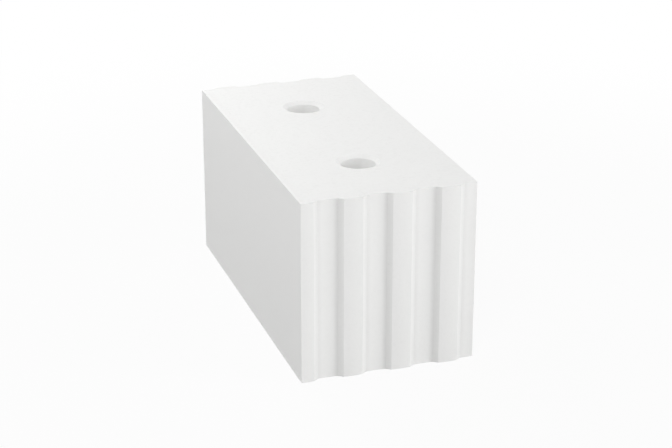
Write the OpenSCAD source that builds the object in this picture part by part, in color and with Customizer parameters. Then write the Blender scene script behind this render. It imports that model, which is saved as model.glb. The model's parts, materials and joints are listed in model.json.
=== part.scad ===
// Calcium silicate wall block with interlocking ends and two countersunk grip holes, in millimetres.
// The origin is the centre of the lower bed face. X runs through the wall, Y along it and Z up.

/* [Block] */
// Length over the crests of the tongues at both ends
block_length = 498; // [300:1:998]
// Width, which is the thickness of the wall that the block builds
block_width = 240; // [115:1:365]
// Height from the lower bed face to the upper one
block_height = 248; // [100:1:498]

/* [Tongue and groove] */
// Distance from one groove to the next across an end
groove_pitch = 66; // [60:0.5:90]
// Play of a tongue in the neighbour's groove, both sides together
joint_play = 1; // [0.5:0.5:4]
// Depth of a groove's middle below the crests of the tongues
groove_depth = 6; // [4:0.5:10]
// Height of a tongue's gentle crown, from its edges to its crest
tongue_crown = 0.8; // [0.2:0.1:1.4]
// Depth of the gentle hollow in a groove's floor, from its corners to its middle
groove_hollow = 0.6; // [0.2:0.1:1.4]
// Slope of a groove's flanks, measured from the end face, in degrees
flank_angle = 36; // [30:1:60]

/* [Grip holes] */
// Distance between the axes of the two grip holes
hole_spacing = 243; // [100:1:260]
// Diameter of a grip hole below its countersink
hole_diameter = 46; // [30:1:60]
// Width of the countersink's sloping ring, seen from above
countersink_width = 6.6; // [2:0.1:12]
// Depth of the countersink below the upper bed face
countersink_depth = 4.5; // [2:0.1:12]

/* [Hidden] */
$fn = 96;

// How far a cut runs on past the face that it opens through
overrun = 2;

// Facets of a full circle that a crown or a hollow is a short arc of
arc_facets = 360;

// Half way down its flanks, a groove is wider than the tongue beside it by the play
groove_width = (groove_pitch + joint_play) / 2;

// The straight part of a flank, between the edge of the tongue and the corner of the floor
flank_height = groove_depth - tongue_crown - groove_hollow;
flank_run = flank_height / tan(flank_angle);
floor_half = (groove_width - flank_run) / 2;
tongue_half = (groove_pitch - groove_width - flank_run) / 2;

// Radius of the arc that has this half chord and this rise
function arc_radius(half_chord, rise) = (half_chord ^ 2 + rise ^ 2) / (2 * rise);
crown_radius = arc_radius(tongue_half, tongue_crown);
hollow_radius = arc_radius(floor_half, groove_hollow);

// The grooves stand a quarter of a pitch off the centre line, so that turning the block end for
// end puts a tongue in front of every groove of its neighbour
groove_reach = ceil(block_width / 2 / groove_pitch);
groove_places = [for (n = [-groove_reach : groove_reach]) (n - 1/4) * groove_pitch];

// Section of one groove, with the crests of the tongues along y = 0. Its flanks run straight on
// below the floor's corners, and the hollow's arc cuts them off there.
module groove_section() {
    function half_width(depth) =
        floor_half + (groove_depth - groove_hollow - depth) / tan(flank_angle);
    intersection() {
        polygon([[-half_width(-overrun), -overrun], [half_width(-overrun), -overrun],
                 [half_width(groove_depth), groove_depth],
                 [-half_width(groove_depth), groove_depth]]);
        translate([0, groove_depth - hollow_radius]) circle(r = hollow_radius, $fn = arc_facets);
    }
}

// What a tongue's crown leaves free on both sides of its crest. It reaches half way down the
// flanks, so that the crown's arc runs out to them and meets them in a plain edge.
module crown_relief() {
    difference() {
        translate([-groove_pitch / 2, -overrun])
            square([groove_pitch, overrun + tongue_crown + flank_height / 2]);
        translate([0, crown_radius]) circle(r = crown_radius, $fn = arc_facets);
    }
}

// Outline of the block seen from above, the same at both ends after half a turn
module plan() {
    difference() {
        square([block_width, block_length], center = true);
        for (turn = [0, 180], x = groove_places)
            rotate(turn) translate([x, -block_length / 2]) {
                groove_section();
                translate([groove_pitch / 2, 0]) crown_relief();
            }
    }
}

// Round hole through the whole height, with a conical countersink in the upper bed face
module grip_hole() {
    hole_radius = hole_diameter / 2;
    widening = countersink_width / countersink_depth;
    translate([0, 0, -overrun]) cylinder(h = block_height + 2 * overrun, r = hole_radius);
    translate([0, 0, block_height - countersink_depth])
        cylinder(h = countersink_depth + overrun, r1 = hole_radius,
                 r2 = hole_radius + countersink_width + overrun * widening);
}

module block() {
    color("#E9E9E8") difference() {
        linear_extrude(height = block_height) plan();
        for (side = [-1, 1]) translate([0, side * hole_spacing / 2, 0]) grip_hole();
    }
}

block();
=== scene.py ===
# A calcium silicate wall block with interlocking ends, on a pale floor in soft studio light.
import json
import math

import bpy
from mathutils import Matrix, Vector


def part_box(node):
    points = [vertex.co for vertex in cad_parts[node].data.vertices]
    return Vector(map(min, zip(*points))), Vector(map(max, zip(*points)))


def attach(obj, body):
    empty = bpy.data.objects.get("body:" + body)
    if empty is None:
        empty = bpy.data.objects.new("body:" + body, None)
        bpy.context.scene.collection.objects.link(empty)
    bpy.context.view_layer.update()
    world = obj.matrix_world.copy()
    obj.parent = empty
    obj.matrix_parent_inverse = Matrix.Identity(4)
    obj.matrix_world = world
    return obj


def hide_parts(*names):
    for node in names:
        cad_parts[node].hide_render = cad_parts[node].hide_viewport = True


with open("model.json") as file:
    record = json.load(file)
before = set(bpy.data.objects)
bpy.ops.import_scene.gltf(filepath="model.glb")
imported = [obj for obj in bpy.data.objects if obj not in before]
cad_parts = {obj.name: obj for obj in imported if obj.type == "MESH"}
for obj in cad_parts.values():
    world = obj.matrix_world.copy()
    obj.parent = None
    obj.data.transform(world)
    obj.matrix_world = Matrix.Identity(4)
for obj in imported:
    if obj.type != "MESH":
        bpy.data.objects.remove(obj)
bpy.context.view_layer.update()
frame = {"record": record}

mm = 0.001
low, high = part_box("block")
width, length, height = high - low
mounts = {mount["name"]: mount for mount in frame["record"]["mounts"]}
plainWhite = (1, 1, 1, 1)


def pick(piece):
    # the only selected object, and the active one
    bpy.ops.object.select_all(action="DESELECT")
    piece.select_set(True)
    bpy.context.view_layer.objects.active = piece


def named(name):
    # names the active object and settles it: its place goes into its mesh
    piece = bpy.context.object
    piece.name = name
    piece.data.name = name
    bpy.ops.object.transform_apply(location=True, rotation=True, scale=True)
    return piece


def selectFaces(piece, wanted):
    # in edit mode, selects the faces for which wanted(face) holds, and nothing else
    bpy.ops.mesh.select_mode(type="FACE")
    bpy.ops.mesh.select_all(action="DESELECT")
    bpy.ops.object.mode_set(mode="OBJECT")
    for face in piece.data.polygons:
        face.select = wanted(face)
    bpy.ops.object.mode_set(mode="EDIT")


def applyModifier(piece, kind, **settings):
    pick(piece)
    modifier = piece.modifiers.new(kind.title(), kind)
    for key, value in settings.items():
        setattr(modifier, key, value)
    bpy.ops.object.modifier_apply(modifier=modifier.name)


def joined(pieces, name):
    pick(pieces[0])
    for piece in pieces:
        piece.select_set(True)
    bpy.ops.object.join()
    return named(name)


def cutAway(piece, cutter):
    applyModifier(piece, "BOOLEAN", operation="DIFFERENCE", solver="EXACT", object=cutter)
    bpy.data.objects.remove(cutter)


blockForm = {
    "groovePitch": 66.0 * mm,
    "groovePlay": 1.0 * mm,         # of a tongue in the next block's groove
    "grooveDepth": 6.0 * mm,        # from the crest of a tongue to the middle of a groove's floor
    "tongueCrown": 0.8 * mm,        # gentle rise from a tongue's edges to its crest
    "grooveHollow": 0.6 * mm,       # gentle dip from the corners of a groove's floor to its middle
    "flankAngle": math.radians(36),
    "countersinkWidth": 6.6 * mm,
    "countersinkDepth": 4.5 * mm,
    "holeSides": 128,
    "arris": 0.3 * mm,              # crisp pressed edge
    "arrisSteps": 2,
    "arrisAngle": math.radians(20),  # edges that turn by more than this get one
    "rimRadius": 0.6 * mm,
    "rimSteps": 3,
    "bowStep": 2.0 * mm,            # spacing of the cuts across the ends that let them bow
    "overrun": 2.0 * mm,            # how far a cut runs on past its face
    "onPlane": 0.1 * mm,            # what lies nearer than this to a plane counts as on it
    "mergeWithin": 0.02 * mm,       # points nearer to each other than this become one
}


def grooveSizes():
    # half way down its flanks, a groove is wider than the tongue beside it by the play
    form = blockForm
    flankHeight = form["grooveDepth"] - form["tongueCrown"] - form["grooveHollow"]
    run = flankHeight / math.tan(form["flankAngle"])
    grooveWidth = (form["groovePitch"] + form["groovePlay"]) / 2
    floorHalf = (grooveWidth - run) / 2
    tongueHalf = (form["groovePitch"] - grooveWidth - run) / 2
    return flankHeight, floorHalf, tongueHalf


def addBox(name, centre, size):
    bpy.ops.mesh.primitive_cube_add(size=1, location=centre, scale=size)
    return named(name)


def grooveCutter(place, turned):
    # a bar with a flat floor, whose outer face is widened so that its sides slope as the flanks do
    form = blockForm
    flankHeight, floorHalf, _ = grooveSizes()
    reach = flankHeight + form["overrun"]
    mouthY = low.y + form["tongueCrown"] - form["overrun"]
    bar = addBox("grooveCutter", (place, mouthY + reach / 2, height / 2),
                 (2 * floorHalf, reach, height + 2 * form["overrun"]))
    bpy.ops.object.mode_set(mode="EDIT")
    selectFaces(bar, lambda face: face.center.y < mouthY + form["onPlane"])
    flare = 1 + reach / math.tan(form["flankAngle"]) / floorHalf
    bpy.ops.transform.resize(value=(flare, 1, 1), center_override=(place, mouthY, height / 2))
    bpy.ops.object.mode_set(mode="OBJECT")
    if turned:
        bar.rotation_euler.z = math.pi
        bpy.ops.object.transform_apply(rotation=True)
    return bar


def cutGrooves(block):
    # a quarter of a pitch off the centre, so that each end's tongues meet the next block's grooves
    pitch = blockForm["groovePitch"]
    reach = math.ceil(width / 2 / pitch)
    places = [(n - 0.25) * pitch for n in range(1 - reach, reach + 1)]
    bars = [grooveCutter(place, turned) for turned in (False, True) for place in places]
    cutAway(block, joined(bars, "grooveCutters"))


def sliceAcross(block):
    # cuts along the block at even steps across its width, none of them on a wall face
    count = round(width / blockForm["bowStep"])
    bpy.ops.object.mode_set(mode="EDIT")
    for n in range(1, count):
        bpy.ops.mesh.select_all(action="SELECT")
        bpy.ops.mesh.bisect(plane_co=(low.x + width * n / count, 0, 0), plane_no=(1, 0, 0))
    bpy.ops.object.mode_set(mode="OBJECT")


def bowFaces(block, end, planeY, centre, half, rise):
    # bows the faces of one end that lie at planeY: all of the rise at their middles, none at their edges
    pitch = blockForm["groovePitch"]
    group = block.vertex_groups.new(name="bow")
    for vertex in block.data.vertices:
        across = (-end * vertex.co.x - centre + pitch / 2) % pitch - pitch / 2
        share = across / half
        if abs(end * vertex.co.y - planeY) < blockForm["onPlane"] and abs(share) < 1:
            group.add([vertex.index], 1 - share ** 2, "REPLACE")
    applyModifier(block, "DISPLACE", direction="Y", mid_level=0, strength=end * rise, vertex_group="bow")
    block.vertex_groups.clear()


def bowEnds(block):
    form = blockForm
    flankHeight, floorHalf, tongueHalf = grooveSizes()
    quarter = form["groovePitch"] / 4
    edgeY = high.y - form["tongueCrown"]
    for end in (-1, 1):
        bowFaces(block, end, edgeY, quarter, tongueHalf, form["tongueCrown"])
        bowFaces(block, end, edgeY - flankHeight, -quarter, floorHalf, -form["grooveHollow"])


def softenArrises(block):
    bpy.ops.object.mode_set(mode="EDIT")
    bpy.ops.mesh.select_mode(type="EDGE")
    bpy.ops.mesh.select_all(action="DESELECT")
    bpy.ops.mesh.edges_select_sharp(sharpness=blockForm["arrisAngle"])
    bpy.ops.mesh.bevel(offset=blockForm["arris"], segments=blockForm["arrisSteps"], affect="EDGES",
                       clamp_overlap=False)
    bpy.ops.object.mode_set(mode="OBJECT")


def roundedLine(corners, radii, steps):
    # the corners of an open line, with each inner one turned into an arc
    line = [corners[0]]
    for before, corner, after, radius in zip(corners, corners[1:], corners[2:], radii):
        before, corner, after = Vector(before), Vector(corner), Vector(after)
        back, ahead = (before - corner).normalized(), (after - corner).normalized()
        half = back.angle(ahead) / 2
        centre = corner + (back + ahead).normalized() * radius / math.sin(half)
        first = corner + back * radius / math.tan(half) - centre
        last = corner + ahead * radius / math.tan(half) - centre
        line += [centre + first.slerp(last, n / steps) * radius for n in range(steps + 1)]
    return line + [corners[-1]]


def holeCutter(mount):
    # turned to the hole's own outline, from a disc that is drawn up ring by ring; the outline's two end
    # points only give the direction of the beds
    form = blockForm
    radius = mount["dims"]["r_mm"] * mm
    rim = radius + form["countersinkWidth"]
    outline = [(2 * radius, 0), (radius, 0), (radius, height - form["countersinkDepth"]),
               (rim, height), (2 * rim, height)]
    line = roundedLine(outline, [form["rimRadius"]] * 3, form["rimSteps"])[1:-1]
    rings = [(line[0][0], -form["overrun"]), *line, (line[-1][0], height + form["overrun"])]
    x, y, _ = mount["pos_m"]
    bpy.ops.mesh.primitive_circle_add(vertices=form["holeSides"], radius=rings[0][0], fill_type="NGON",
                                      location=(x, y, rings[0][1]))
    cutter = named("holeCutter")
    bpy.ops.object.mode_set(mode="EDIT")
    bpy.ops.mesh.select_all(action="SELECT")
    for (r0, z0), (r1, z1) in zip(rings, rings[1:]):
        bpy.ops.mesh.extrude_region_move(TRANSFORM_OT_translate={"value": (0, 0, z1 - z0)})
        bpy.ops.transform.resize(value=(r1 / r0, r1 / r0, 1), center_override=(x, y, z1))
    bpy.ops.mesh.select_all(action="SELECT")
    bpy.ops.mesh.normals_make_consistent(inside=False)
    bpy.ops.object.mode_set(mode="OBJECT")
    return cutter


def buildBlock():
    form = blockForm
    block = addBox("sandLimeBlock", (low + high) / 2, (width, length - 2 * form["tongueCrown"], height))
    cutGrooves(block)
    sliceAcross(block)
    bowEnds(block)
    softenArrises(block)
    print("outline cut and arrises softened:", len(block.data.polygons), "faces")
    for name in ("grip_hole_front", "grip_hole_back"):
        cutAway(block, holeCutter(mounts[name]))
    bpy.ops.object.mode_set(mode="EDIT")
    bpy.ops.mesh.select_all(action="SELECT")
    bpy.ops.mesh.remove_doubles(threshold=form["mergeWithin"])
    bpy.ops.object.mode_set(mode="OBJECT")
    bpy.ops.object.shade_smooth()
    applyModifier(block, "WEIGHTED_NORMAL", mode="FACE_AREA")
    print("grip holes cut:", len(block.data.polygons), "faces")
    return block


def linearColour(hexColour):
    # an sRGB colour such as "#E6E6E5" as the linear values that a shader takes
    parts = [int(hexColour[n:n + 2], 16) / 255 for n in (1, 3, 5)]
    return [p / 12.92 if p <= 0.04045 else ((p + 0.055) / 1.055) ** 2.4 for p in parts] + [1]


def addNode(tree, kind, inputs=(), **settings):
    # a node with its settings; an input takes a value, an output, or a node, which means its first output
    node = tree.nodes.new("ShaderNode" + kind)
    for key, value in settings.items():
        setattr(node, key, value)
    for socket, value in inputs.items() if isinstance(inputs, dict) else enumerate(inputs):
        if isinstance(value, bpy.types.Node):
            value = value.outputs[0]
        if isinstance(value, bpy.types.NodeSocket):
            tree.links.new(value, node.inputs[socket])
        else:
            node.inputs[socket].default_value = value
    return node


def eyeRays(tree):
    # 1 for what is seen straight, in a gloss or through glass, and 0 for the light that falls on things
    path = addNode(tree, "LightPath")
    seen = path.outputs["Is Camera Ray"]
    for kind in ("Is Glossy Ray", "Is Transmission Ray"):
        seen = addNode(tree, "Math", [seen, path.outputs[kind]], operation="MAXIMUM")
    return seen


def newMaterial(name):
    material = bpy.data.materials.new(name)
    material.use_nodes = True
    material.node_tree.nodes.clear()
    return material, material.node_tree


limeFinish = {
    "white": "#EEEEED",
    "shade": "#C6C6C5",             # of the darkest grains and pits, and of the painted shade in the groove corners
    "roughness": 0.9,
    "ior": 1.5,
    "gloss": 0.25,                  # specular level; a dry, dusty skin gives hardly any
    "grainWidth": 2.0,              # mm; sand of 0.1 to 0.6 mm is too fine to show, so drawn this coarse
    "grainDetail": 2.0,             # finer layers of noise in the grain, and how strong they are
    "grainRoughness": 0.6,
    "grainShade": 0.22,             # how much of the shade colour the grain brings
    "grainHeight": 0.03,            # mm
    "clodWidth": 5.0,               # mm; where the damp mix was pressed a little harder or softer
    "clodDetail": 1.0,
    "clodShade": 0.32,
    "clodHeight": 0.36,             # mm
    "pitSpacing": 9.0,              # mm
    "pitShare": 0.4,                # of the cells of that spacing have a pit
    "pitRadius": 1.6,               # mm, of the largest
    "pitFloor": 0.5,                # of a pit's radius, and the rest of it rises to the skin
    "pitLeast": 0.001,              # of the spacing, in a cell that has none, so that nothing is divided by 0
    "pitRagged": 2.5,               # mm that the sand pulls their edges about
    "pitShade": 0.15,
    "pitDepth": 0.15,               # mm
    "endShare": 0.36,               # of the beds' texture on the two ends, which slid along the mould
    "sideShare": 0.2,               # and on the two wall faces, against its polished plates
    # painted shade: the concave corners of the grooves are drawn darker, where shade falls
    "paintedShadeFade": 7.0,              # mm from a groove's corners to where the painted shade in them ends
    "paintedShadeStrength": 0.18,
    "paintedShadeFrom": 0.7,              # of the way to an end, past the grip holes, where that painted shade may start
}


def steamHardenedSandLime():
    # sand and lime pressed in a steel mould and hardened in steam: a dry, matt, cool white with no
    # gloss, faintly sandy on the beds and smoother where it slid along the mould, with painted shade in the
    # groove corners
    finish = limeFinish
    material, tree = newMaterial("steamHardenedSandLime")
    where = addNode(tree, "TexCoord")
    place = addNode(tree, "VectorMath", {0: where.outputs["Object"], "Scale": 1 / mm}, operation="SCALE")
    x, y, _ = addNode(tree, "SeparateXYZ", [place]).outputs
    facing = addNode(tree, "VectorMath", [where.outputs["Normal"]], operation="ABSOLUTE")
    acrossWall, alongWall, upward = addNode(tree, "SeparateXYZ", [facing]).outputs

    sand = addNode(tree, "TexNoise", {
        "Vector": place, "Scale": 1 / finish["grainWidth"], "Detail": finish["grainDetail"],
        "Roughness": finish["grainRoughness"]})
    grain = sand.outputs["Fac"]
    clods = addNode(tree, "TexNoise", {
        "Vector": place, "Scale": 1 / finish["clodWidth"], "Detail": finish["clodDetail"]})
    clod = clods.outputs["Fac"]

    # a cell whose random number is under the share has a pit, and the lower the number, the wider the pit
    ragged = addNode(tree, "VectorMath", [sand.outputs["Color"], (finish["pitRagged"],) * 3, place],
                     operation="MULTIPLY_ADD")
    cells = addNode(tree, "TexVoronoi", {"Vector": ragged, "Scale": 1 / finish["pitSpacing"]})
    chance = addNode(tree, "SeparateXYZ", [cells.outputs["Color"]])
    under = addNode(tree, "Math", [finish["pitShare"], chance], operation="SUBTRACT", use_clamp=True)
    widest = finish["pitRadius"] / finish["pitShare"] / finish["pitSpacing"]
    radius = addNode(tree, "Math", [under, widest], operation="MULTIPLY")
    aboveZero = addNode(tree, "Math", [radius, finish["pitLeast"]], operation="MAXIMUM")
    outward = addNode(tree, "Math", [cells.outputs["Distance"], aboveZero], operation="DIVIDE")
    pit = addNode(tree, "MapRange", {"Value": outward, "From Min": 1.0, "From Max": finish["pitFloor"]},
                  interpolation_type="SMOOTHSTEP")

    # the beds show all of the texture, the ends less and the wall faces the least
    share = addNode(tree, "Math", [acrossWall, finish["sideShare"], upward], operation="MULTIPLY_ADD")
    share = addNode(tree, "Math", [alongWall, finish["endShare"], share], operation="MULTIPLY_ADD",
                    use_clamp=True)

    # painted shade in the concave corners of the grooves, where shade falls, kept off the grip holes;
    # the grooves of one end lie a quarter of a pitch left of even places, and those of the other right
    _, floorHalf, _ = grooveSizes()
    pitch = blockForm["groovePitch"]
    end = addNode(tree, "Math", [y], operation="SIGN")
    shifted = addNode(tree, "Math", [x, end, -pitch / 4 / mm], operation="MULTIPLY_ADD")
    fromMiddle = addNode(tree, "Math", [shifted, pitch / 2 / mm], operation="PINGPONG")
    fromCorner = addNode(tree, "Math", [fromMiddle, floorHalf / mm], operation="SUBTRACT")
    away = addNode(tree, "Math", [fromCorner], operation="ABSOLUTE")
    paintedShade = addNode(tree, "MapRange", {"Value": away, "From Min": finish["paintedShadeFade"], "From Max": 0.0,
                                      "To Max": finish["paintedShadeStrength"]}, interpolation_type="SMOOTHSTEP")
    outFrom = addNode(tree, "Math", [y], operation="ABSOLUTE")
    endward = addNode(tree, "Math", [alongWall, outFrom], operation="MULTIPLY")
    onEnd = addNode(tree, "Math", [endward, finish["paintedShadeFrom"] * high.y / mm], operation="GREATER_THAN")
    # the painted shade, kept to the faces of the two ends
    corner = addNode(tree, "Math", [paintedShade, onEnd], operation="MULTIPLY")

    # only what lies deeper than the middle of a noise is darker, and the rest stays white
    middle = 0.5
    darker = addNode(tree, "Math", [pit, finish["pitShade"]], operation="MULTIPLY")
    relief = addNode(tree, "Math", [pit, -finish["pitDepth"]], operation="MULTIPLY")
    for noise, name in ((grain, "grain"), (clod, "clod")):
        deep = addNode(tree, "Math", [middle, noise], operation="SUBTRACT", use_clamp=True)
        darker = addNode(tree, "Math", [deep, finish[name + "Shade"], darker], operation="MULTIPLY_ADD")
        relief = addNode(tree, "Math", [noise, finish[name + "Height"], relief], operation="MULTIPLY_ADD")
    # the grain's darkening on each face, with the painted shade of the groove corners added on top
    textureAndPaintedShade = addNode(tree, "Math", [darker, share, corner], operation="MULTIPLY_ADD", use_clamp=True)
    relief = addNode(tree, "Math", [relief, share], operation="MULTIPLY")

    # a colour Mix takes its colours at inputs 6 and 7, and gives the result at output 2
    colour = addNode(tree, "Mix", {0: textureAndPaintedShade, 6: linearColour(finish["white"]),
                                   7: linearColour(finish["shade"])}, data_type="RGBA")
    bump = addNode(tree, "Bump", {"Height": relief, "Distance": mm})
    shader = addNode(tree, "BsdfPrincipled", {
        "Base Color": colour.outputs[2], "Roughness": finish["roughness"], "IOR": finish["ior"],
        "Specular IOR Level": finish["gloss"], "Normal": bump})
    addNode(tree, "OutputMaterial", {"Surface": shader})
    return material


floorFinish = {
    "size": 12.0,                   # m
    "paint": "#C8C8C8",
    "shadowShare": 0.06,            # how much of the paint's light, with the block's shadow, the camera sees
    "shadowFrom": length,           # m from the middle, where that share starts to fade to plain white
    "shadowReach": 1.4,             # m from the middle, where the last of it has gone
}


def paleFloorPaint():
    # matt pale studio paint, which the camera sees as plain white with a trace of the block's soft shadow
    material, tree = newMaterial("paleFloorPaint")
    paint = addNode(tree, "BsdfDiffuse", {"Color": linearColour(floorFinish["paint"])})
    glow = addNode(tree, "Emission", {"Color": plainWhite, "Strength": 1.0})
    where = addNode(tree, "TexCoord")
    away = addNode(tree, "VectorMath", [where.outputs["Object"]], operation="LENGTH")
    white = addNode(tree, "MapRange", {
        "Value": away.outputs["Value"], "From Min": floorFinish["shadowFrom"],
        "From Max": floorFinish["shadowReach"], "To Min": 1 - floorFinish["shadowShare"]},
        interpolation_type="SMOOTHSTEP")
    seen = addNode(tree, "Math", [eyeRays(tree), white], operation="MULTIPLY")
    mix = addNode(tree, "MixShader", [seen, paint, glow])
    addNode(tree, "OutputMaterial", {"Surface": mix})
    return material


studioLights = {
    # degrees, metres and watts; the elevation is above the middle of the block
    "softFront": {"azimuth": -30, "elevation": 38, "distance": 2.8, "size": 1.2, "power": 27.6},
    "lowFront": {"azimuth": -40, "elevation": 20, "distance": 2.8, "size": 1.2, "power": 9.31},
    "softRight": {"azimuth": 50, "elevation": 38, "distance": 2.8, "size": 1.2, "power": 12.6},
    "lowRight": {"azimuth": 60, "elevation": 13, "distance": 2.8, "size": 1.2, "power": 35.7},
    "nearLeft": {"azimuth": -100, "elevation": 50, "distance": 1.2, "size": 0.6, "power": 2.68},
    "softLeft": {"azimuth": -100, "elevation": 35, "distance": 2.8, "size": 1.2, "power": 3.81},
    "behindLeft": {"azimuth": -160, "elevation": 35, "distance": 1.8, "size": 0.9, "power": 14},
    "lowBack": {"azimuth": 150, "elevation": 13, "distance": 2.8, "size": 1.2, "power": 22.4},
}
worldLight = {"strength": 0.1}
cameraSetup = {
    "azimuth": -18.288,
    "elevation": 21.839,
    "distance": 2.5355,
    "aim": Vector((8.01, -3.33, 112.27)) * mm,
    "lens": 96.317,                 # mm, on a sensor 36 mm wide
}


def aroundBlock(azimuth, elevation, distance, centre):
    # azimuth 0 is in front of the near end, and 90 is to its right
    a, e = math.radians(azimuth), math.radians(elevation)
    away = Vector((math.sin(a) * math.cos(e), -math.cos(a) * math.cos(e), math.sin(e)))
    return centre + away * distance, away.to_track_quat("Z", "Y")


def addLight(name, azimuth, elevation, distance, size, power):
    place, turn = aroundBlock(azimuth, elevation, distance, (low + high) / 2)
    bpy.ops.object.light_add(type="AREA", location=place, rotation=turn.to_euler())
    lamp = bpy.context.object
    lamp.name = name
    lamp.data.shape = "DISK"
    lamp.data.size = size
    lamp.data.energy = power
    lamp.visible_camera = False     # it may stand in another view


def buildStudio():
    bpy.ops.mesh.primitive_plane_add(size=floorFinish["size"])
    floor = named("studioFloor")
    floor.data.materials.append(paleFloorPaint())
    for name, lamp in studioLights.items():
        addLight(name, **lamp)
    world = bpy.data.worlds.new("paleStudio")
    bpy.context.scene.world = world
    world.use_nodes = True
    tree = world.node_tree
    tree.nodes.clear()
    fill = addNode(tree, "Background", {"Color": plainWhite, "Strength": worldLight["strength"]})
    white = addNode(tree, "Background", {"Color": plainWhite, "Strength": 1.0})
    mix = addNode(tree, "MixShader", [eyeRays(tree), fill, white])
    addNode(tree, "OutputWorld", {"Surface": mix})


def addCamera():
    place, turn = aroundBlock(cameraSetup["azimuth"], cameraSetup["elevation"], cameraSetup["distance"],
                              cameraSetup["aim"])
    bpy.ops.object.camera_add(location=place, rotation=turn.to_euler())
    camera = bpy.context.object
    camera.name = "studioCamera"
    camera.data.lens = cameraSetup["lens"]
    bpy.context.scene.camera = camera


bpy.context.scene.view_settings.view_transform = "Standard"
addCamera()
print("camera set")
block = buildBlock()
block.data.materials.clear()
block.data.materials.append(steamHardenedSandLime())
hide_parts("block")
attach(block, "root")
print("block built")
buildStudio()
print("studio set")
